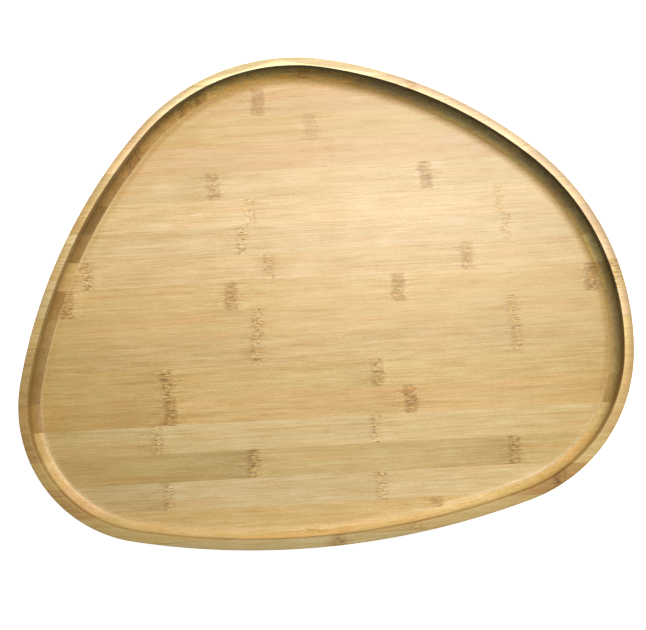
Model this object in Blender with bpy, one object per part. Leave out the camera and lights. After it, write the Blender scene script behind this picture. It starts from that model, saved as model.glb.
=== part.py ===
"""Pebble-shaped bamboo serving tray.

A board 400 x 320 x 20 mm is glued up from three plies of flat bamboo strips
that all run along X.  A free-form outline is cut from the board, and a pocket
with a coved foot is routed into it, which leaves a narrow rim all round.

What is left of the board is built strip by strip:
  floor_strip_NN   the bottom ply, one strip per row, right across the tray
  rim_left_NN      the two upper plies of a row, left of the pocket
  rim_right_NN     the two upper plies of a row, right of the pocket
  rim_back_01      the upper plies of the back row, which the pocket notches
  rim_front_NN     the upper plies of the two front rows
Rows are numbered from the back (+Y) to the front (-Y).
"""
import math

import bpy

MM = 0.001

# ---- driving dimensions, millimetres ---------------------------------------
LENGTH = 400.0            # along the strips, X
WIDTH = 320.0             # across the strips, Y
HEIGHT = 20.0             # thickness of the glued board
STRIP_W = 18.5            # width of a full strip
BACK_ROW_W = 15.8         # what the outline leaves of the back strip
FLOOR_T = 6.2             # thickness left under the pocket
SKIM = 0.025              # what the router takes off the bottom ply's face
COVE_R = 7.0              # radius between the wall and the floor
RIM_W = 6.2               # width of the rim's top
POCKET_SHIFT = (-0.3, 0.35)   # the pocket sits slightly off the outline's centre
EDGE_R = 1.0              # rounding of the outer edges
LIP_R = 0.6               # rounding of the pocket's upper edge
GAP = 0.3                 # glue line between neighbouring strips

# Plan outline: four corner circles (x, y, radius), counter-clockwise, joined
# by four longer arcs that touch them.
CORNERS = ((97.0, -38.0, 103.0), (41.0, -27.5, 157.0),
           (-16.0, 24.0, 136.0), (-112.0, -63.0, 88.5))
SIDES = (164.0, 290.0, 342.0, 518.0)

OUTLINE_STEPS = 180       # points round the outline
COVE_STEPS = 6
EDGE_STEPS = 2

ROWS = 2 + math.floor((WIDTH - BACK_ROW_W) / STRIP_W)


# ---- plan outline ----------------------------------------------------------
def side_centre(c0, c1, radius):
    """Centre of the arc of the given radius that encloses and touches both corner circles."""
    a, b = radius - c0[2], radius - c1[2]
    dx, dy = c1[0] - c0[0], c1[1] - c0[1]
    span = math.hypot(dx, dy)
    ux, uy = dx / span, dy / span
    along = (a * a - b * b + span * span) / (2.0 * span)
    across = math.sqrt(max(a * a - along * along, 0.0))
    return (c0[0] + ux * along - uy * across, c0[1] + uy * along + ux * across)


def arc_list():
    """The outline's arcs in order: (centre x, centre y, radius, start angle, sweep)."""
    n = len(CORNERS)
    centres = [side_centre(CORNERS[i], CORNERS[(i + 1) % n], SIDES[i]) for i in range(n)]

    def heading(frm, to):
        return math.atan2(to[1] - frm[1], to[0] - frm[0])

    arcs = []
    for i in range(n):
        start = heading(centres[i - 1], CORNERS[i])
        end = heading(centres[i], CORNERS[i])
        arcs.append((CORNERS[i][0], CORNERS[i][1], CORNERS[i][2], start, (end - start) % (2 * math.pi)))
        nxt = heading(centres[i], CORNERS[(i + 1) % n])
        arcs.append((centres[i][0], centres[i][1], SIDES[i], end, (nxt - end) % (2 * math.pi)))
    return arcs


def outline():
    """Evenly spaced points and outward normals round the outline, centred and brought to LENGTH x WIDTH."""
    arcs = arc_list()
    total = sum(a[2] * a[4] for a in arcs)
    pts = []
    for k in range(OUTLINE_STEPS):
        s = total * k / OUTLINE_STEPS
        for cx, cy, r, start, sweep in arcs:
            if s <= r * sweep:
                t = start + s / r
                pts.append((cx + r * math.cos(t), cy + r * math.sin(t)))
                break
            s -= r * sweep
    xs, ys = [p[0] for p in pts], [p[1] for p in pts]
    kx, ky = LENGTH / (max(xs) - min(xs)), WIDTH / (max(ys) - min(ys))
    mx, my = (max(xs) + min(xs)) / 2, (max(ys) + min(ys)) / 2
    pts = [((x - mx) * kx, (y - my) * ky) for x, y in pts]
    out = []
    for k, (x, y) in enumerate(pts):
        x0, y0 = pts[k - 1]
        x1, y1 = pts[(k + 1) % len(pts)]
        tx, ty = x1 - x0, y1 - y0
        m = math.hypot(tx, ty)
        out.append((x, y, ty / m, -tx / m))
    return out


OUTLINE = outline()


def ring(inset, z, shift=(0.0, 0.0)):
    """The outline moved inwards by inset, at height z."""
    return [((x - nx * inset + shift[0]) * MM, (y - ny * inset + shift[1]) * MM, z * MM)
            for x, y, nx, ny in OUTLINE]


# ---- solids ----------------------------------------------------------------
def new_object(name, verts, faces):
    mesh = bpy.data.meshes.new(name)
    mesh.from_pydata(verts, [], faces)
    mesh.validate()
    obj = bpy.data.objects.new(name, mesh)
    bpy.context.scene.collection.objects.link(obj)
    return obj


def loft(name, rings):
    """A closed solid through rings of equal point count, from the lowest to the highest."""
    n = len(rings[0])
    verts = [p for r in rings for p in r]
    faces = [tuple(range(n - 1, -1, -1))]
    for k in range(len(rings) - 1):
        a, b = k * n, (k + 1) * n
        faces += [(a + i, a + (i + 1) % n, b + (i + 1) % n, b + i) for i in range(n)]
    top = (len(rings) - 1) * n
    faces.append(tuple(range(top, top + n)))
    obj = new_object(name, verts, faces)
    obj.data.shade_smooth()
    obj.data.set_sharp_from_angle(angle=math.radians(30))
    return obj


def tool(obj):
    obj.display_type = 'WIRE'
    obj.hide_render = True
    return obj


def board_form():
    """The board cut to its outline, with rounded outer edges."""
    rings = []
    for i in range(EDGE_STEPS + 1):
        t = math.pi / 2 * i / EDGE_STEPS
        rings.append(ring(EDGE_R * (1 - math.sin(t)), EDGE_R * (1 - math.cos(t))))
    for i in range(EDGE_STEPS + 1):
        t = math.pi / 2 * i / EDGE_STEPS
        rings.append(ring(EDGE_R * (1 - math.cos(t)), HEIGHT - EDGE_R * (1 - math.sin(t))))
    return tool(loft("board_form", rings))


def pocket_form():
    """The routed pocket: flat floor, coved foot, upright wall, rounded lip."""
    rings = []
    for i in range(COVE_STEPS + 1):
        t = math.pi / 2 * i / COVE_STEPS
        rings.append(ring(RIM_W + COVE_R * (1 - math.sin(t)),
                          FLOOR_T + COVE_R * (1 - math.cos(t)), POCKET_SHIFT))
    for i in range(EDGE_STEPS + 1):
        t = math.pi / 2 * i / EDGE_STEPS
        rings.append(ring(RIM_W - LIP_R * (1 - math.cos(t)),
                          HEIGHT - LIP_R * (1 - math.sin(t)), POCKET_SHIFT))
    rings.append(ring(RIM_W - LIP_R, HEIGHT + 10.0, POCKET_SHIFT))
    return tool(loft("pocket_form", rings))


def slab(name, x0, x1, y0, y1, z0, z1):
    v = [(x * MM, y * MM, z * MM) for z in (z0, z1) for x, y in ((x0, y0), (x1, y0), (x1, y1), (x0, y1))]
    f = [(3, 2, 1, 0), (4, 5, 6, 7), (0, 1, 5, 4), (1, 2, 6, 5), (2, 3, 7, 6), (3, 0, 4, 7)]
    return new_object(name, v, f)


def cut(obj, operation, other):
    mod = obj.modifiers.new(operation.lower(), 'BOOLEAN')
    mod.operation = operation
    mod.solver = 'EXACT'
    mod.object = other


def bamboo(name, row, ply):
    """Oiled bamboo; each strip is a little lighter or darker than its neighbours."""
    tone = 1.0 + 0.10 * math.sin(2.4 * row + 1.7 * ply)
    mat = bpy.data.materials.new(name)
    mat.use_nodes = True
    bsdf = mat.node_tree.nodes["Principled BSDF"]
    bsdf.inputs["Base Color"].default_value = (0.66 * tone, 0.45 * tone, 0.22 * tone, 1.0)
    bsdf.inputs["Roughness"].default_value = 0.5
    bsdf.inputs["Metallic"].default_value = 0.0
    return mat


def row_edges(row):
    """Front and back of a row, with half a glue line taken off each inner edge."""
    back = WIDTH / 2 - (0.0 if row == 1 else BACK_ROW_W + (row - 2) * STRIP_W)
    front = -WIDTH / 2 if row == ROWS else WIDTH / 2 - BACK_ROW_W - (row - 1) * STRIP_W
    back += 10.0 if row == 1 else -GAP / 2
    front += -10.0 if row == ROWS else GAP / 2
    return front, back


def pocket_span(y):
    """Where the pocket's wall crosses y: its left and right x, or None where it doesn't reach."""
    pts = ring(RIM_W, 0.0, POCKET_SHIFT)
    xs = []
    for k, (x1, y1, _) in enumerate(pts):
        x0, y0, _ = pts[k - 1]
        x0, y0, x1, y1 = x0 / MM, y0 / MM, x1 / MM, y1 / MM
        if (y0 - y) * (y1 - y) <= 0 and y0 != y1:
            xs.append(x0 + (x1 - x0) * (y - y0) / (y1 - y0))
    return (min(xs), max(xs)) if xs else None


# ---- the tray --------------------------------------------------------------
def build():
    for obj in list(bpy.data.objects):
        bpy.data.objects.remove(obj, do_unlink=True)

    board, pocket = board_form(), pocket_form()
    reach = LENGTH / 2 + 10.0
    low = (-10.0, FLOOR_T + SKIM)
    high = (FLOOR_T + SKIM + GAP, HEIGHT + 5.0)

    def strip(name, x0, x1, front, back, z, row, ply):
        obj = slab(name, x0, x1, front, back, z[0], z[1])
        cut(obj, 'INTERSECT', board)
        cut(obj, 'DIFFERENCE', pocket)
        obj.data.materials.append(bamboo(name, row, ply))

    for row in range(1, ROWS + 1):
        front, back = row_edges(row)
        strip(f"floor_strip_{row:02d}", -reach, reach, front, back, low, row, 0)

        # The pocket parts a row in two when it is open, down to the foot of the
        # upper plies, at both edges of the row.
        foot = COVE_R - (SKIM + GAP)
        toe = COVE_R - math.sqrt(COVE_R ** 2 - foot ** 2)
        near, far = pocket_span(front - toe), pocket_span(back + toe)
        if near and far:
            mid = sum(near + far) / 4
            strip(f"rim_left_{row:02d}", -reach, mid, front, back, high, row, 1)
            strip(f"rim_right_{row:02d}", mid, reach, front, back, high, row, 2)
        elif row == 1:
            strip(f"rim_back_{row:02d}", -reach, reach, front, back, high, row, 1)
        else:
            strip(f"rim_front_{row:02d}", -reach, reach, front, back, high, row, 1)


build()
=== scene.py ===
import math

import bpy
import numpy as np
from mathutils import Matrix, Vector


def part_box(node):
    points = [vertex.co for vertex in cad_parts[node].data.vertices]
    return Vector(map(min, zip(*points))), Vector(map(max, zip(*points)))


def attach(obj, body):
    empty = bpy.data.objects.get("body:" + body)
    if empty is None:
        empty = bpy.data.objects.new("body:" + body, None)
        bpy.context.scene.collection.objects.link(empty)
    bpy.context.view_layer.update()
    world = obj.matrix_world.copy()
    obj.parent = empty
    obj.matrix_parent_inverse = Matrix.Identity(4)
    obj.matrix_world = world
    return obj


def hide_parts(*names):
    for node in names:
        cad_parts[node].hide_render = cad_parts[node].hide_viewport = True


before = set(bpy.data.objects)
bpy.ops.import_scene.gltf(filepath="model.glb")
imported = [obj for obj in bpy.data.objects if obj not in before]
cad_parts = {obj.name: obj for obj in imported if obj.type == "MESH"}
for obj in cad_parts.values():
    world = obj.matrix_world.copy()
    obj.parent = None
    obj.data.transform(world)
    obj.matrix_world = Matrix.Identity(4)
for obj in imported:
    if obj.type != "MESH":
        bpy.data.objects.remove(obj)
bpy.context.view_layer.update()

MM = 0.001

# ---------------------------------------------------------------------------
# The tray's own sizes (millimetres), as in the CAD model
# ---------------------------------------------------------------------------
LENGTH, WIDTH, HEIGHT = 400.0, 320.0, 20.0
STRIP_W, BACK_ROW_W = 18.5, 15.8
FLOOR_T, COVE_R, RIM_W = 6.2, 7.0, 6.2
POCKET_SHIFT = (-0.3, 0.35)
EDGE_R, LIP_R = 1.0, 0.6
PLY_T = HEIGHT / 3
ROWS = 18
SEAM = 0.006              # what shows of a glue line
FOOT = 3.5                # how far the painted shade at the wall's foot runs onto the floor
LIGHT_AZIMUTH = 50.0      # where the light comes from, degrees from +X towards +Y
PAINTED_SHADE_AZIMUTH = 65.0       # where the painted shade on the routed wall is darkest
CORNERS = ((97.0, -38.0, 103.0), (41.0, -27.5, 157.0),
           (-16.0, 24.0, 136.0), (-112.0, -63.0, 88.5))
SIDES = (164.0, 290.0, 342.0, 518.0)
STEPS = 720
COVE_STEPS = 14
ROUND_STEPS = 5


# ---------------------------------------------------------------------------
# Plan outline
# ---------------------------------------------------------------------------
def side_centre(c0, c1, radius):
    a, b = radius - c0[2], radius - c1[2]
    dx, dy = c1[0] - c0[0], c1[1] - c0[1]
    span = math.hypot(dx, dy)
    ux, uy = dx / span, dy / span
    along = (a * a - b * b + span * span) / (2.0 * span)
    across = math.sqrt(max(a * a - along * along, 0.0))
    return (c0[0] + ux * along - uy * across, c0[1] + uy * along + ux * across)


def arc_list():
    n = len(CORNERS)
    centres = [side_centre(CORNERS[i], CORNERS[(i + 1) % n], SIDES[i]) for i in range(n)]

    def heading(frm, to):
        return math.atan2(to[1] - frm[1], to[0] - frm[0])

    arcs = []
    for i in range(n):
        start, end = heading(centres[i - 1], CORNERS[i]), heading(centres[i], CORNERS[i])
        arcs.append((CORNERS[i][0], CORNERS[i][1], CORNERS[i][2], start, (end - start) % (2 * math.pi)))
        nxt = heading(centres[i], CORNERS[(i + 1) % n])
        arcs.append((centres[i][0], centres[i][1], SIDES[i], end, (nxt - end) % (2 * math.pi)))
    return arcs


def outline():
    arcs = arc_list()
    total = sum(a[2] * a[4] for a in arcs)
    pts = []
    for k in range(STEPS):
        s = total * k / STEPS
        for cx, cy, r, start, sweep in arcs:
            if s <= r * sweep:
                t = start + s / r
                pts.append((cx + r * math.cos(t), cy + r * math.sin(t)))
                break
            s -= r * sweep
    p = np.array(pts)
    lo, hi = p.min(0), p.max(0)
    p = (p - (lo + hi) / 2) * (np.array([LENGTH, WIDTH]) / (hi - lo))
    t = np.roll(p, -1, 0) - np.roll(p, 1, 0)
    t /= np.linalg.norm(t, axis=1)[:, None]
    return p, np.stack([t[:, 1], -t[:, 0]], 1)


OUT_P, OUT_N = outline()


def ring(inset, z, shift=(0.0, 0.0)):
    p = (OUT_P - OUT_N * inset + np.array(shift)) * MM
    return [(x, y, z * MM) for x, y in p]


# ---------------------------------------------------------------------------
# Solids
# ---------------------------------------------------------------------------
def new_object(name, verts, faces):
    mesh = bpy.data.meshes.new(name)
    mesh.from_pydata(verts, [], faces)
    obj = bpy.data.objects.new(name, mesh)
    bpy.context.scene.collection.objects.link(obj)
    return obj


def loft(name, rings):
    n = len(rings[0])
    verts = [p for r in rings for p in r]
    faces = [tuple(range(n - 1, -1, -1))]
    for k in range(len(rings) - 1):
        a, b = k * n, (k + 1) * n
        faces += [(a + i, a + (i + 1) % n, b + (i + 1) % n, b + i) for i in range(n)]
    top = (len(rings) - 1) * n
    faces.append(tuple(range(top, top + n)))
    return new_object(name, verts, faces)


def groove(inset, z, shift=(0.0, 0.0), into=1.0):
    """The fine line that a glue joint between two plies leaves on a sanded edge."""
    return [ring(inset, z - 0.07, shift), ring(inset + 0.05 * into, z, shift), ring(inset, z + 0.07, shift)]


def board_form():
    rings = [ring(EDGE_R + 0.6, 0.0)]
    for i in range(ROUND_STEPS + 1):
        t = math.pi / 2 * i / ROUND_STEPS
        rings.append(ring(EDGE_R * (1 - math.sin(t)), EDGE_R * (1 - math.cos(t))))
    rings.append(ring(0.0, EDGE_R + 0.4))
    rings += groove(0.0, PLY_T)
    rings.append(ring(0.0, 1.5 * PLY_T))
    rings += groove(0.0, 2 * PLY_T)
    rings.append(ring(0.0, HEIGHT - EDGE_R - 0.4))
    for i in range(ROUND_STEPS + 1):
        t = math.pi / 2 * i / ROUND_STEPS
        rings.append(ring(EDGE_R * (1 - math.cos(t)), HEIGHT - EDGE_R * (1 - math.sin(t))))
    rings.append(ring(EDGE_R + 0.4, HEIGHT))
    return loft("board_form", rings)


def pocket_form():
    s = POCKET_SHIFT
    rings = [ring(RIM_W + COVE_R + FOOT, FLOOR_T, s)]
    for i in range(COVE_STEPS + 1):
        t = math.pi / 2 * i / COVE_STEPS
        rings.append(ring(RIM_W + COVE_R * (1 - math.sin(t)), FLOOR_T + COVE_R * (1 - math.cos(t)), s))
    rings += groove(RIM_W, 2 * PLY_T + 0.05, s, -1.0)
    rings.append(ring(RIM_W, 16.0, s))
    rings.append(ring(RIM_W, 18.0, s))
    for i in range(ROUND_STEPS + 1):
        t = math.pi / 2 * i / ROUND_STEPS
        rings.append(ring(RIM_W - LIP_R * (1 - math.cos(t)), HEIGHT - LIP_R * (1 - math.sin(t)), s))
    rings.append(ring(RIM_W - LIP_R, HEIGHT + 10.0, s))
    return loft("pocket_form", rings)


def slab(name, x0, x1, y0, y1, z0, z1):
    v = [(x * MM, y * MM, z * MM) for z in (z0, z1) for x, y in ((x0, y0), (x1, y0), (x1, y1), (x0, y1))]
    f = [(3, 2, 1, 0), (4, 5, 6, 7), (0, 1, 5, 4), (1, 2, 6, 5), (2, 3, 7, 6), (3, 0, 4, 7)]
    return new_object(name, v, f)


def row_edges(row):
    back = WIDTH / 2 - (0.0 if row == 1 else BACK_ROW_W + (row - 2) * STRIP_W)
    front = -WIDTH / 2 if row == ROWS else WIDTH / 2 - BACK_ROW_W - (row - 1) * STRIP_W
    return front, back


def apply_cuts(obj, cuts):
    """Runs the Boolean cuts and keeps their result as the object's own mesh."""
    for operation, other in cuts:
        mod = obj.modifiers.new(operation.lower(), 'BOOLEAN')
        mod.operation = operation
        mod.solver = 'MANIFOLD'
        mod.object = other
    bpy.context.view_layer.update()
    dg = bpy.context.evaluated_depsgraph_get()
    mesh = bpy.data.meshes.new_from_object(obj.evaluated_get(dg))
    obj.modifiers.clear()
    old = obj.data
    obj.data = mesh
    bpy.data.meshes.remove(old)
    mesh.name = obj.name


def wall_attributes(obj):
    """Marks the routed wall for its painted shade and painted highlight. 'wall' runs from 0 at the foot of the cove to
    1 at its top and 2 at the rounded top edge,
    'faces' is 1 where the wall lies towards the azimuth of the painted shade and -1 opposite, and a third attribute is
    1 on the rounding of the upper edge, where a highlight is painted."""
    mesh = obj.data
    co = np.empty(len(mesh.vertices) * 3, np.float32)
    mesh.vertices.foreach_get("co", co)
    co = co.reshape(-1, 3) / MM
    p = OUT_P - OUT_N * RIM_W + np.array(POCKET_SHIFT)
    near = np.zeros(len(co), int)
    for a in range(0, len(co), 2000):
        d2 = ((co[a:a + 2000, None, :2] - p[None]) ** 2).sum(2)
        near[a:a + 2000] = d2.argmin(1)
    inward = ((p[near] - co[:, :2]) * OUT_N[near]).sum(1)
    z = co[:, 2]
    routed = (inward > -LIP_R - 0.1) & (z > FLOOR_T - 0.05) & (inward < COVE_R + FOOT)
    cove = np.clip(1.0 - inward / (COVE_R + FOOT), 0.0, 1.0)
    upright = np.clip((z - FLOOR_T - COVE_R) / (HEIGHT - LIP_R - FLOOR_T - COVE_R), 0.0, 1.0)
    wall = np.where(routed, cove + upright, 0.0)
    # painted highlight: marks the rounding of the upper edge
    painted_lip_highlight = np.where((z > HEIGHT - LIP_R * 0.9) & (np.abs(inward) < LIP_R * 1.05), 1.0, 0.0)
    wall[z > HEIGHT - 0.05] = 0.0
    # painted shade: how far the wall turns towards the side where shade is painted
    away = math.radians(PAINTED_SHADE_AZIMUTH)
    painted_shade_side = OUT_N[near, 0] * math.cos(away) + OUT_N[near, 1] * math.sin(away)
    for name, value in (("wall", wall), ("faces", painted_shade_side), ("painted_lip_highlight", painted_lip_highlight)):
        mesh.attributes.new(name, 'FLOAT', 'POINT').data.foreach_set("value", value.astype(np.float32))


# ---------------------------------------------------------------------------
# Bamboo
# ---------------------------------------------------------------------------
class Tree:
    """Short names for building a node tree."""

    def __init__(self, tree):
        self.tree = tree

    def node(self, kind, **props):
        n = self.tree.nodes.new(kind)
        for key, value in props.items():
            setattr(n, key, value)
        return n

    def feed(self, socket, value):
        if isinstance(value, bpy.types.NodeSocket):
            self.tree.links.new(value, socket)
        elif value is not None:
            socket.default_value = value

    def math(self, op, a, b=None, c=None, clamp=False):
        n = self.node('ShaderNodeMath', operation=op, use_clamp=clamp)
        for i, v in enumerate((a, b, c)):
            self.feed(n.inputs[i], v)
        return n.outputs[0]

    def add(self, a, b): return self.math('ADD', a, b)
    def sub(self, a, b): return self.math('SUBTRACT', a, b)
    def mul(self, a, b): return self.math('MULTIPLY', a, b)
    def mad(self, a, b, c): return self.math('MULTIPLY_ADD', a, b, c)
    def high(self, a, b): return self.math('MAXIMUM', a, b)
    def low(self, a, b): return self.math('MINIMUM', a, b)

    def step(self, value, a, b):
        """Smooth step from 0 at a to 1 at b."""
        n = self.node('ShaderNodeMapRange', interpolation_type='SMOOTHSTEP')
        self.feed(n.inputs['Value'], value)
        n.inputs['From Min'].default_value = a
        n.inputs['From Max'].default_value = b
        return n.outputs['Result']

    def bell(self, value, width):
        """exp(-(value/width)^2)"""
        s = self.mul(value, 1.0 / width)
        return self.math('POWER', math.e, self.mul(self.mul(s, s), -1.0))

    def xyz(self, x, y, z):
        n = self.node('ShaderNodeCombineXYZ')
        for i, v in enumerate((x, y, z)):
            self.feed(n.inputs[i], v)
        return n.outputs[0]

    def noise(self, vector, detail=1.0, rough=0.5):
        n = self.node('ShaderNodeTexNoise', noise_dimensions='3D')
        self.feed(n.inputs['Vector'], vector)
        n.inputs['Scale'].default_value = 1.0
        n.inputs['Detail'].default_value = detail
        n.inputs['Roughness'].default_value = rough
        return n

    def mix(self, fac, a, b, kind='MIX'):
        n = self.node('ShaderNodeMix', data_type='RGBA', blend_type=kind)
        self.feed(n.inputs[0], fac)
        self.feed(n.inputs[6], a)
        self.feed(n.inputs[7], b)
        return n.outputs[2]

    def tint(self, colour, r, g, b):
        """Colour times a constant."""
        return self.mix(1.0, colour, (r, g, b, 1.0), 'MULTIPLY')


def bamboo_group():
    """One strip of flat-pressed bamboo. The fibres run along X and are solid, so end grain shows where a surface cuts them."""
    group = bpy.data.node_groups.new("bamboo_strip", 'ShaderNodeTree')
    face = group.interface
    for name, kind in (("Tint", 'NodeSocketColor'), ("Joint", 'NodeSocketColor'), ("Seed", 'NodeSocketFloat'),
                       ("Front", 'NodeSocketFloat'), ("Back", 'NodeSocketFloat'), ("Streaks", 'NodeSocketFloat')):
        face.new_socket(name, in_out='INPUT', socket_type=kind)
    for name, kind in (("Color", 'NodeSocketColor'), ("Roughness", 'NodeSocketFloat'), ("Height", 'NodeSocketFloat')):
        face.new_socket(name, in_out='OUTPUT', socket_type=kind)
    t = Tree(group)
    gin, gout = t.node('NodeGroupInput'), t.node('NodeGroupOutput')
    tint, joint, seed = gin.outputs['Tint'], gin.outputs['Joint'], gin.outputs['Seed']

    pos = t.node('ShaderNodeTexCoord').outputs['Object']
    sep = t.node('ShaderNodeSeparateXYZ')
    t.feed(sep.inputs[0], pos)
    x, y, z = (t.mul(sep.outputs[i], 1000.0) for i in range(3))
    jsep = t.node('ShaderNodeSeparateColor')
    t.feed(jsep.inputs[0], joint)
    xn = t.mad(jsep.outputs[0], 440.0, -220.0)
    power, flecks = jsep.outputs[1], jsep.outputs[2]
    sx, sy, sz = t.mul(seed, 17.3), t.mul(seed, 5.1), t.mul(seed, 9.7)

    # the culm joint: where it lies, and how the fibres bend round it
    u0 = t.sub(x, xn)
    near = t.mul(t.bell(u0, 10.0), power)
    drift = t.noise(t.xyz(t.mad(x, 1 / 20.0, sx), t.mad(y, 1 / 4.5, sy), t.mad(z, 1 / 4.5, sz)), 2.0)
    dsep = t.node('ShaderNodeSeparateColor')
    t.feed(dsep.inputs[0], drift.outputs['Color'])
    amount = t.mad(near, 2.6, 0.55)
    y2 = t.math('MULTIPLY_ADD', t.sub(dsep.outputs[0], 0.5), amount, y)
    z2 = t.math('MULTIPLY_ADD', t.sub(dsep.outputs[1], 0.5), amount, z)

    def fibres(length, width, detail, rough, shift):
        v = t.xyz(t.mad(x, 1 / length, t.add(sx, shift)), t.mad(y2, 1 / width, t.add(sy, shift)), t.mad(z2, 1 / width, sz))
        return t.sub(t.noise(v, detail, rough).outputs['Fac'], 0.5)

    tiny = fibres(2.2, 0.55, 1.0, 0.6, 57.9)
    fine = fibres(15.0, 0.5, 2.0, 0.6, 3.1)
    medium = fibres(42.0, 1.5, 2.0, 0.55, 11.7)
    broad = fibres(130.0, 5.0, 1.0, 0.5, 23.9)
    rosy = fibres(70.0, 4.0, 1.0, 0.5, 41.3)
    cloud = t.sub(t.noise(t.xyz(t.mad(x, 1 / 26.0, sz), t.mad(y, 1 / 13.0, sx), t.mad(z, 1 / 13.0, sy)), 2.0).outputs['Fac'], 0.5)

    # vascular bundles: thin darker dashes along the fibres, dots on end grain
    cell = t.node('ShaderNodeTexVoronoi', voronoi_dimensions='3D', feature='F1')
    t.feed(cell.inputs['Vector'], t.xyz(t.mad(x, 1 / 24.0, sx), t.mad(y2, 1 / 0.95, sy), t.mad(z2, 1 / 0.95, sz)))
    cell.inputs['Scale'].default_value = 1.0
    bundle = t.sub(1.0, t.step(cell.outputs['Distance'], 0.10, 0.34))

    lively = t.mul(gin.outputs['Streaks'], t.mad(near, 2.3, 1.15))
    grain = t.mad(fine, 1.05, t.mad(medium, 1.0, t.mad(broad, 0.45, t.mul(tiny, 0.75))))
    grain = t.math('MULTIPLY_ADD', grain, lively, 0.5)
    grain = t.math('MULTIPLY_ADD', cloud, 0.55, grain)
    grain = t.math('MAXIMUM', t.math('MINIMUM', grain, 1.0), 0.0)
    colour = t.mix(grain, t.tint(tint, 0.81, 0.735, 0.57), t.tint(tint, 1.12, 1.155, 1.27))
    colour = t.mix(t.step(rosy, -0.02, 0.22), colour, t.tint(colour, 1.02, 0.95, 0.89))
    colour = t.mix(t.mul(bundle, t.mad(lively, 0.16, 0.05)), colour, t.tint(colour, 0.52, 0.42, 0.30))

    # painted shade: the colour is darker towards the board's ends and edges, more so to the right and along the
    # upper-right to lower-left diagonal, and less on the top ply; towards the ends and edges it also turns yellower
    painted_falloff = t.mad(t.mul(x, x), 0.16 / 200.0 ** 2, t.mul(t.mul(y, y), 0.08 / 160.0 ** 2))
    painted_falloff = t.mad(t.mul(x, y), 0.14 / (200.0 * 160.0), t.mad(x, 0.06 / 200.0, painted_falloff))
    painted_falloff = t.mul(painted_falloff, t.mad(t.step(z, 13.0, 14.0), -0.6, 1.0))
    colour = t.mix(t.mul(t.add(painted_falloff, 0.12), 1 / 1.12), t.tint(colour, 1.12, 1.12, 1.12), (0.0, 0.0, 0.0, 1.0))
    away = t.mad(t.mul(x, x), 1 / 200.0 ** 2, t.mul(t.mul(y, y), 1 / 160.0 ** 2))
    colour = t.mix(away, t.tint(colour, 1.0, 1.01, 1.08), t.tint(colour, 1.0, 0.99, 0.88))

    # the joint's scar: a darker block across the strip, full of short pale and dark flecks
    ragged = t.noise(t.xyz(t.mad(x, 1 / 14.0, sy), t.mad(y, 1 / 0.9, sx), t.mad(z, 1 / 0.9, sz)), 2.0, 0.6)
    wobble = t.noise(t.xyz(t.mad(y, 1 / 5.5, sx), t.mad(z, 1 / 5.5, sz), seed), 1.0)
    u = t.math('MULTIPLY_ADD', t.sub(ragged.outputs['Fac'], 0.5), 5.0, t.math('MULTIPLY_ADD', t.sub(wobble.outputs['Fac'], 0.5), 3.5, u0))
    side = t.math('ABSOLUTE', u)
    block = t.mul(t.sub(1.0, t.step(side, 3.2, 5.4)), power)
    colour = t.mix(t.mul(block, 0.6), colour, t.tint(colour, 0.67, 0.56, 0.45))
    core = t.mul(t.sub(1.0, t.step(side, 1.6, 4.4)), flecks)
    curl = t.noise(t.xyz(t.mad(x, 1 / 2.6, sx), t.mad(y2, 1 / 1.6, sy), t.mad(z2, 1 / 1.6, sz)), 1.0).outputs['Fac']
    y3 = t.math('MULTIPLY_ADD', t.sub(curl, 0.5), 2.0, y2)
    speck = t.noise(t.xyz(t.mad(x, 1 / 3.4, sx), t.mad(y3, 1 / 0.85, sy), t.mad(z2, 1 / 0.85, sz)), 1.0, 0.5).outputs['Fac']
    dark = t.mul(t.step(speck, 0.53, 0.66), core)
    pale = t.mul(t.sub(1.0, t.step(speck, 0.34, 0.47)), core)
    colour = t.mix(t.mul(dark, 0.85), colour, t.tint(colour, 0.42, 0.33, 0.21))
    colour = t.mix(t.mul(pale, 0.9), colour, t.tint(colour, 1.42, 1.40, 1.22))

    # glue lines along the strip's edges and between the plies
    gap = t.low(t.sub(y, gin.outputs['Front']), t.sub(gin.outputs['Back'], y))
    ply = t.low(t.math('ABSOLUTE', t.sub(z, PLY_T)), t.math('ABSOLUTE', t.sub(z, 2 * PLY_T)))
    line = t.sub(1.0, t.step(gap, 0.04, 0.36))
    line = t.mul(line, t.math('MULTIPLY_ADD', cloud, 2.4, 0.6, True))
    line = t.mul(line, t.mad(t.step(z, 13.0, 14.0), 0.85, 0.12))
    line = t.high(line, t.mul(t.sub(1.0, t.step(ply, 0.03, 0.22)), 0.3))
    colour = t.mix(t.mul(line, 0.6), colour, t.tint(colour, 0.50, 0.38, 0.26))

    # painted shade: the routed wall is golden brown at its foot and darkens to near black towards the top, mostly on
    # the side turned away from the light, and the rounded upper edge there gets a painted highlight
    def stored(name):
        return t.node('ShaderNodeAttribute', attribute_type='GEOMETRY', attribute_name=name).outputs['Fac']

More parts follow.
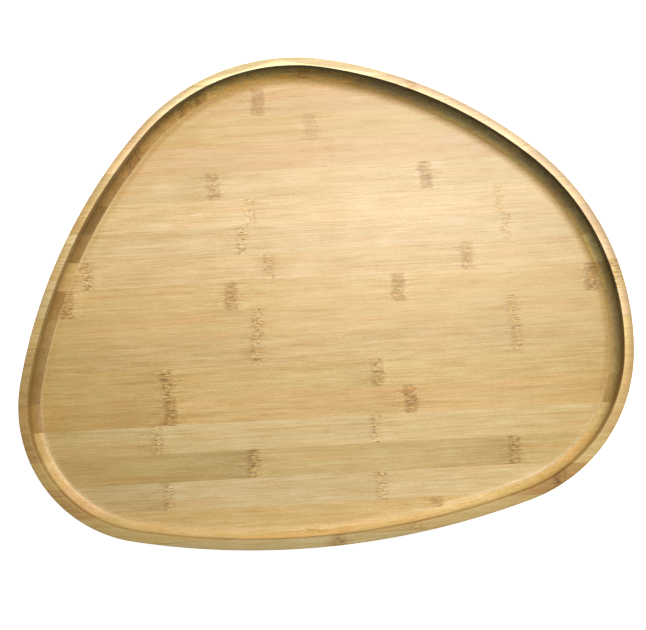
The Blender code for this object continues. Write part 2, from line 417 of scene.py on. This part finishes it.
    faces = stored("faces")
    grit = t.noise(t.xyz(t.mul(x, 1 / 0.9), t.mul(y, 1 / 0.9), t.mul(z, 1 / 0.9)), 1.0).outputs['Fac']
    wall = stored("wall")
    mottle = t.noise(t.xyz(t.mul(x, 1 / 5.0), t.mul(y, 1 / 3.0), t.mul(z, 1 / 3.0)), 2.0, 0.6).outputs['Fac']
    edge = t.mul(t.step(wall, 0.0, 0.1), t.sub(grit, 0.5))
    wall = t.mul(wall, t.mad(t.sub(grit, 0.5), 0.5, t.mad(t.sub(mottle, 0.5), 0.7, 1.0)))
    wall = t.mad(edge, 0.35, wall)
    ramp = t.node('ShaderNodeValToRGB')
    t.feed(ramp.inputs[0], t.mul(wall, 0.5))
    painted_wall_shade = ramp.color_ramp
    painted_wall_shade.elements[0].color = (1.0, 1.0, 1.0, 1.0)
    painted_wall_shade.elements[1].color = (0.02, 0.025, 0.03, 1.0)
    for place, rgb in ((0.06, (0.96, 0.91, 0.78)), (0.12, (0.80, 0.70, 0.41)), (0.19, (0.63, 0.51, 0.20)),
                       (0.256, (0.71, 0.65, 0.25)), (0.344, (0.68, 0.635, 0.50)), (0.433, (0.55, 0.66, 0.62)),
                       (0.51, (0.36, 0.49, 0.57)), (0.60, (0.20, 0.32, 0.45)), (0.75, (0.125, 0.21, 0.30)),
                       (0.90, (0.077, 0.126, 0.158))):
        painted_wall_shade.elements.new(place).color = rgb + (1.0,)
    # painted shade, mostly on the side of the wall turned away from the light
    colour = t.mix(t.step(faces, -0.6, 0.95), colour, t.mix(1.0, colour, ramp.outputs['Color'], 'MULTIPLY'))
    # painted highlight on the rounded upper edge, on the side of the wall turned away from the light
    colour = t.mix(t.mul(stored("painted_lip_highlight"), t.step(faces, -0.2, 0.6)), colour, t.tint(colour, 1.8, 1.95, 2.2))

    rough = t.mad(fine, 0.25, t.mad(core, 0.12, t.mad(bundle, 0.06, 0.44)))
    height = t.mad(fine, 0.5, t.mad(medium, 0.35, t.mul(bundle, -0.35)))
    height = t.math('MULTIPLY_ADD', dark, -0.9, height)
    height = t.math('MULTIPLY_ADD', line, -0.5, height)
    t.feed(gout.inputs['Color'], colour)
    t.feed(gout.inputs['Roughness'], rough)
    t.feed(gout.inputs['Height'], height)
    return group


BAMBOO = bamboo_group()


def code(x):
    """A place along X as a number from 0 to 1."""
    return (x + 220.0) / 440.0


def joint_ramp(t, where, joints):
    """For each point, the place and strength of the culm joint it belongs to."""
    n = t.node('ShaderNodeValToRGB')
    t.feed(n.inputs[0], where)
    ramp = n.color_ramp
    ramp.interpolation = 'CONSTANT'
    joints = sorted(joints) or [(-219.0, 0.0, 0.0)]
    colours = [(code(j[0]), j[1], j[2], 1.0) for j in joints]
    places = [0.0] + [code((joints[i][0] + joints[i + 1][0]) / 2) for i in range(len(joints) - 1)]
    ramp.elements[0].position, ramp.elements[0].color = 0.0, colours[0]
    ramp.elements[1].position, ramp.elements[1].color = 1.0, colours[-1]
    for place, colour in list(zip(places, colours))[1:]:
        ramp.elements.new(place).color = colour
    return n.outputs['Color']


def shade_ramp(t, where, tint, joints):
    """Each length of culm is darkest just before its joint and lightest just after it."""
    n = t.node('ShaderNodeValToRGB')
    t.feed(n.inputs[0], where)
    ramp = n.color_ramp
    ramp.interpolation = 'LINEAR'
    stops = [(0.0, 1.0)]
    for x, _, _, drop, reach in sorted(joints):
        stops += [(code(x - reach), 1.0), (code(x - 2.0), 1.0 - drop), (code(x + 1.5), 1.0 + 0.35 * drop)]
    stops.append((1.0, 1.0))
    last = -1.0
    clean = []
    for place, k in stops:
        place = max(min(place, 1.0), last + 0.002)
        last = place
        clean.append((place, k))
    for i, (place, k) in enumerate(clean):
        colour = tuple(min(c * k ** e, 1.0) for c, e in zip(tint, (0.9, 1.0, 1.25))) + (1.0,)
        if i == 0:
            ramp.elements[0].position, ramp.elements[0].color = place, colour
        elif i == len(clean) - 1:
            ramp.elements[-1].position, ramp.elements[-1].color = min(place, 1.0), colour
        else:
            ramp.elements.new(place).color = colour
    return n.outputs['Color']


def bamboo(name, row, plies):
    """plies: one (tint, joints, seed, streaks) for a floor strip, or the top ply's and the middle ply's."""
    mat = bpy.data.materials.new(name)
    mat.use_nodes = True
    t = Tree(mat.node_tree)
    bsdf = mat.node_tree.nodes["Principled BSDF"]
    sep = t.node('ShaderNodeSeparateXYZ')
    t.feed(sep.inputs[0], t.node('ShaderNodeTexCoord').outputs['Object'])
    where = t.mad(sep.outputs[0], 1000.0 / 440.0, 0.5)
    strip = t.node('ShaderNodeGroup')
    strip.node_tree = BAMBOO
    front, back = row_edges(row)
    strip.inputs['Front'].default_value = front if row < ROWS else front - 20.0
    strip.inputs['Back'].default_value = back if row > 1 else back + 20.0
    tints = [shade_ramp(t, where, p[0], p[1]) for p in plies]
    joints = [joint_ramp(t, where, p[1]) for p in plies]
    if len(plies) == 1:
        t.feed(strip.inputs['Tint'], tints[0])
        t.feed(strip.inputs['Joint'], joints[0])
        strip.inputs['Seed'].default_value = plies[0][2]
        strip.inputs['Streaks'].default_value = plies[0][3]
    else:
        upper = t.math('GREATER_THAN', sep.outputs[2], 2 * PLY_T * MM)
        t.feed(strip.inputs['Tint'], t.mix(upper, tints[1], tints[0]))
        t.feed(strip.inputs['Joint'], t.mix(upper, joints[1], joints[0]))
        t.feed(strip.inputs['Seed'], t.mad(upper, plies[0][2] - plies[1][2], plies[1][2]))
        t.feed(strip.inputs['Streaks'], t.mad(upper, plies[0][3] - plies[1][3], plies[1][3]))
    t.feed(bsdf.inputs['Base Color'], strip.outputs['Color'])
    t.feed(bsdf.inputs['Roughness'], strip.outputs['Roughness'])
    bsdf.inputs['Specular IOR Level'].default_value = 0.4
    bump = t.node('ShaderNodeBump')
    bump.inputs['Strength'].default_value = 0.45
    bump.inputs['Distance'].default_value = 0.00012
    t.feed(bump.inputs['Height'], strip.outputs['Height'])
    t.feed(bsdf.inputs['Normal'], bump.outputs['Normal'])
    return mat


CREAM = (0.56, 0.431, 0.235)
PALE = (0.577, 0.424, 0.222)
SAND = (0.588, 0.423, 0.197)
ROSE = (0.605, 0.412, 0.215)
HONEY = (0.6, 0.42, 0.183)
GOLD = (0.618, 0.414, 0.164)
UMBER = (0.641, 0.404, 0.151)
BRONZE = (0.674, 0.391, 0.135)
OLIVE = (0.569, 0.433, 0.196)
KHAKI = (0.587, 0.429, 0.167)
STRAW = (0.602, 0.421, 0.168)
WHEAT = (0.573, 0.429, 0.206)
BUFF = (0.592, 0.42, 0.204)
LEAF = (0.558, 0.435, 0.217)
DUNE = (0.585, 0.427, 0.184)

# Culm joints: (x, block, flecks, shade before it, how far that reaches)
# Floor strips: hue, tone, streak strength, culm joints
FLOOR = {
    1: (ROSE, 1.0, 0.8, ()),
    2: (ROSE, 0.97, 0.8, ((-35.5, 0.9, 0.35, 0.02, 20.0),)),
    3: (BUFF, 1.0, 0.7, ((-1.0, 0.45, 0.1, 0.02, 20.0),)),
    4: (ROSE, 1.0, 0.7, ((10.0, 0.1, 0.2, 0.0, 20.0),)),
    5: (PALE, 1.08, 0.8, ((-68.5, 0.8, 0.6, 0.06, 40.0), (73.5, 0.9, 0.4, 0.0, 20.0),)),
    6: (PALE, 1.15, 1.0, ((-45.0, 0.2, 0.7, 0.0, 20.0), (121.0, 0.0, 0.5, 0.0, 20.0),)),
    7: (PALE, 1.1, 1.0, ((-50.5, 0.2, 0.8, 0.03, 30.0), (125.0, 0.0, 0.5, 0.0, 20.0),)),
    8: (BUFF, 1.07, 1.0, ((-155.0, 0.5, 0.9, 0.02, 20.0), (-34.0, 0.3, 0.6, 0.02, 20.0),
             (97.5, 0.6, 0.5, 0.02, 20.0),)),
    9: (HONEY, 1.02, 0.9, ((-169.5, 1.0, 0.8, 0.05, 16.0), (-60.0, 1.0, 0.6, 0.05, 16.0),
             (51.0, 0.9, 0.5, 0.04, 16.0), (179.0, 0.9, 0.8, 0.06, 20.0),)),
    10: (HONEY, 0.99, 0.9, ((-43.5, 0.35, 0.9, 0.05, 40.0), (126.0, 0.3, 0.6, 0.04, 40.0),)),
    11: (HONEY, 0.94, 1.1, ((-45.5, 0.35, 0.8, 0.05, 40.0), (127.5, 0.3, 0.6, 0.05, 40.0),)),
    12: (STRAW, 0.93, 1.2, ((-105.5, 0.6, 1.0, 0.06, 60.0), (34.5, 0.6, 0.9, 0.07, 50.0),)),
    13: (GOLD, 0.93, 1.0, ((-103.75, 1.0, 1.0, 0.12, 70.0), (55.0, 1.0, 1.0, 0.06, 60.0),)),
    14: (WHEAT, 1.04, 1.0, ((-113.5, 0.4, 1.0, 0.06, 50.0), (31.0, 0.3, 0.8, 0.06, 40.0),)),
    15: (DUNE, 0.91, 1.0, ((-50.5, 0.7, 1.0, 0.16, 80.0), (121.0, 0.8, 1.0, 0.14, 60.0),)),
    16: (CREAM, 1.11, 1.0, ((-107.0, 0.5, 0.8, 0.12, 80.0), (33.0, 0.3, 0.9, 0.05, 40.0),)),
    17: (SAND, 1.09, 1.0, ((68.0, 0.7, 0.6, 0.06, 30.0),)),
    18: (PALE, 1.0, 1.0, ()),
}

# Rim blocks: (hue, tone, joints) of the top ply and of the middle ply
LEFT = {
    2: ((CREAM, 0.95, ()), (UMBER, 1.03, ((-95.0, 0.9, 0.5, 0.3, 9.0), (-84.0, 0.9, 0.5, 0.3, 9.0), (-74.0, 0.9, 0.5, 0.3, 9.0),))),
    3: ((ROSE, 0.88, ()), (BRONZE, 0.78, ())),
    4: ((ROSE, 1.03, ()), (BRONZE, 0.71, ((-120.0, 0.9, 0.9, 0.1, 20.0),))),
    5: ((HONEY, 0.81, ()), (BRONZE, 0.57, ())),
    6: ((GOLD, 0.8, ()), (BRONZE, 0.41, ())),
    7: ((WHEAT, 0.99, ((-154.5, 0.5, 0.6, 0.04, 20.0),)), (BRONZE, 0.55, ())),
    8: ((BUFF, 0.94, ()), (GOLD, 0.97, ())),
    9: ((WHEAT, 0.91, ()), (BRONZE, 0.58, ())),
    10: ((STRAW, 0.82, ()), (UMBER, 0.64, ())),
    11: ((GOLD, 0.71, ()), (UMBER, 0.56, ())),
    12: ((GOLD, 0.67, ()), (BRONZE, 0.51, ())),
    13: ((UMBER, 0.64, ()), (BRONZE, 0.62, ())),
    14: ((UMBER, 0.62, ()), (HONEY, 1.16, ())),
    15: ((STRAW, 0.79, ()), (BUFF, 1.35, ())),
    16: ((UMBER, 0.64, ()), (ROSE, 1.3, ())),
}

RIGHT = {
    2: ((ROSE, 0.84, ((66.0, 0.6, 0.5, 0.04, 20.0),)), (ROSE, 1.0, ((25.0, 0.6, 0.9, 0.05, 20.0),))),
    3: ((ROSE, 0.82, ()), (WHEAT, 1.22, ())),
    4: ((ROSE, 0.89, ()), (PALE, 1.38, ())),
    5: ((ROSE, 0.75, ()), (CREAM, 1.16, ())),
    6: ((ROSE, 0.83, ()), (ROSE, 1.02, ())),
    7: ((ROSE, 0.69, ()), (PALE, 1.33, ())),
    8: ((ROSE, 0.74, ()), (CREAM, 1.81, ())),
    9: ((HONEY, 0.72, ((189.5, 0.5, 0.9, 0.03, 20.0),)), (HONEY, 1.16, ((176.0, 0.8, 0.8, 0.1, 20.0),))),
    10: ((ROSE, 0.78, ()), (ROSE, 1.06, ())),
    11: ((GOLD, 0.73, ()), (ROSE, 1.04, ())),
    12: ((UMBER, 0.69, ()), (HONEY, 1.0, ())),
    13: ((GOLD, 0.77, ()), (GOLD, 0.83, ())),
    14: ((GOLD, 0.8, ()), (SAND, 1.2, ())),
    15: ((DUNE, 0.91, ()), (GOLD, 1.1, ())),
    16: ((BRONZE, 0.6, ((146.5, 1.0, 0.9, 0.15, 20.0),)), (STRAW, 1.04, ())),
}

ENDS = {
    1: ((CREAM, 1.1, ()), (UMBER, 1.14, ((-4.0, 0.7, 1.0, 0.04, 20.0),))),
    17: ((DUNE, 0.79, ((52.5, 0.6, 0.7, 0.06, 20.0),)), (SAND, 1.18, ((-13.0, 0.6, 0.8, 0.05, 20.0),))),
    18: ((LEAF, 0.82, ((3.0, 0.9, 0.9, 0.1, 20.0),)), (HONEY, 1.24, ())),
}


def shade(hue, tone):
    return tuple(c * tone for c in hue)


def build_tray():
    board, pocket = board_form(), pocket_form()
    reach = LENGTH / 2 + 10.0

    def strip(name, x0, x1, row, z0, z1, plies):
        front, back = row_edges(row)
        front += -10.0 if row == ROWS else SEAM / 2
        back += 10.0 if row == 1 else -SEAM / 2
        obj = slab(name + "_bamboo", x0, x1, front, back, z0, z1)
        apply_cuts(obj, (('INTERSECT', board), ('DIFFERENCE', pocket)))
        obj.data.shade_smooth()
        obj.data.set_sharp_from_angle(angle=math.radians(40))
        wall_attributes(obj)
        obj.data.materials.clear()
        obj.data.materials.append(bamboo(name + "_bamboo", row, plies))
        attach(obj, "root")
        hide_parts(name)

    low = (-10.0, PLY_T - SEAM / 2)
    high = (PLY_T + SEAM / 2, HEIGHT + 5.0)
    for row in range(1, ROWS + 1):
        hue, tone, streaks, joints = FLOOR[row]
        strip(f"floor_strip_{row:02d}", -reach, reach, row, *low, [(shade(hue, tone), joints, 1.7 * row, streaks)])

        def pair(side, seed):
            top, mid = side[row]
            return [(shade(*top[:2]), top[2], seed, 1.4 if side is LEFT and row > 4 else 0.9),
                    (shade(*mid[:2]), mid[2], seed + 0.53, 1.2)]

        left, right, back_name, front_name = (f"rim_left_{row:02d}", f"rim_right_{row:02d}",
                                              f"rim_back_{row:02d}", f"rim_front_{row:02d}")
        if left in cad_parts:
            mid = (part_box(left)[1].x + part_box(right)[0].x) / 2 / MM
            strip(left, -reach, mid, row, *high, pair(LEFT, 31.0 + 1.3 * row))
            strip(right, mid, reach, row, *high, pair(RIGHT, 71.0 + 1.3 * row))
        else:
            name = back_name if back_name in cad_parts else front_name
            strip(name, -reach, reach, row, *high, pair(ENDS, 11.0 + 1.3 * row))
    for cutter in (board, pocket):
        mesh = cutter.data
        bpy.data.objects.remove(cutter, do_unlink=True)
        bpy.data.meshes.remove(mesh)


build_tray()


# ---------------------------------------------------------------------------
# Studio: pale table, soft light from the back right, camera almost straight above
# ---------------------------------------------------------------------------
def studio():
    scene = bpy.context.scene
    floor = new_object("studio_floor", [(-3, -3, -0.0004), (3, -3, -0.0004), (3, 3, -0.0004), (-3, 3, -0.0004)], [(0, 1, 2, 3)])
    mat = bpy.data.materials.new("studio_floor")
    mat.use_nodes = True
    bsdf = mat.node_tree.nodes["Principled BSDF"]
    bsdf.inputs["Base Color"].default_value = (0.92, 0.92, 0.92, 1)
    bsdf.inputs["Roughness"].default_value = 0.9
    bsdf.inputs["Emission Color"].default_value = (1, 1, 1, 1)
    bsdf.inputs["Emission Strength"].default_value = 0.8
    floor.data.materials.append(mat)

    world = bpy.data.worlds.new("studio")
    scene.world = world
    world.use_nodes = True
    world.node_tree.nodes["Background"].inputs[0].default_value = (1.0, 0.98, 0.95, 1)
    world.node_tree.nodes["Background"].inputs[1].default_value = 0.28

    def area(name, azimuth, elevation, distance, size, power, colour):
        light = bpy.data.lights.new(name, 'AREA')
        light.shape = 'DISK'
        light.size = size
        light.energy = power
        light.color = colour
        obj = bpy.data.objects.new(name, light)
        a, e = math.radians(azimuth), math.radians(elevation)
        obj.location = Vector((math.cos(a) * math.cos(e), math.sin(a) * math.cos(e), math.sin(e))) * distance
        obj.rotation_euler = (-obj.location).to_track_quat('-Z', 'Y').to_euler()
        scene.collection.objects.link(obj)

    area("key", LIGHT_AZIMUTH, 64.0, 0.86, 0.5, 8.9, (1.0, 0.99, 0.96))

    cam = bpy.data.cameras.new("camera")
    cam.lens = 51.604
    cam.sensor_width = 36.0
    cam.clip_start = 0.01
    obj = bpy.data.objects.new("camera", cam)
    obj.location = (0.00508, -0.04372, 0.61881)
    obj.rotation_euler = tuple(math.radians(a) for a in (3.0907, 0.6178, -3.1446))
    scene.collection.objects.link(obj)
    scene.camera = obj

    scene.view_settings.view_transform = 'Standard'
    scene.view_settings.look = 'None'


studio()
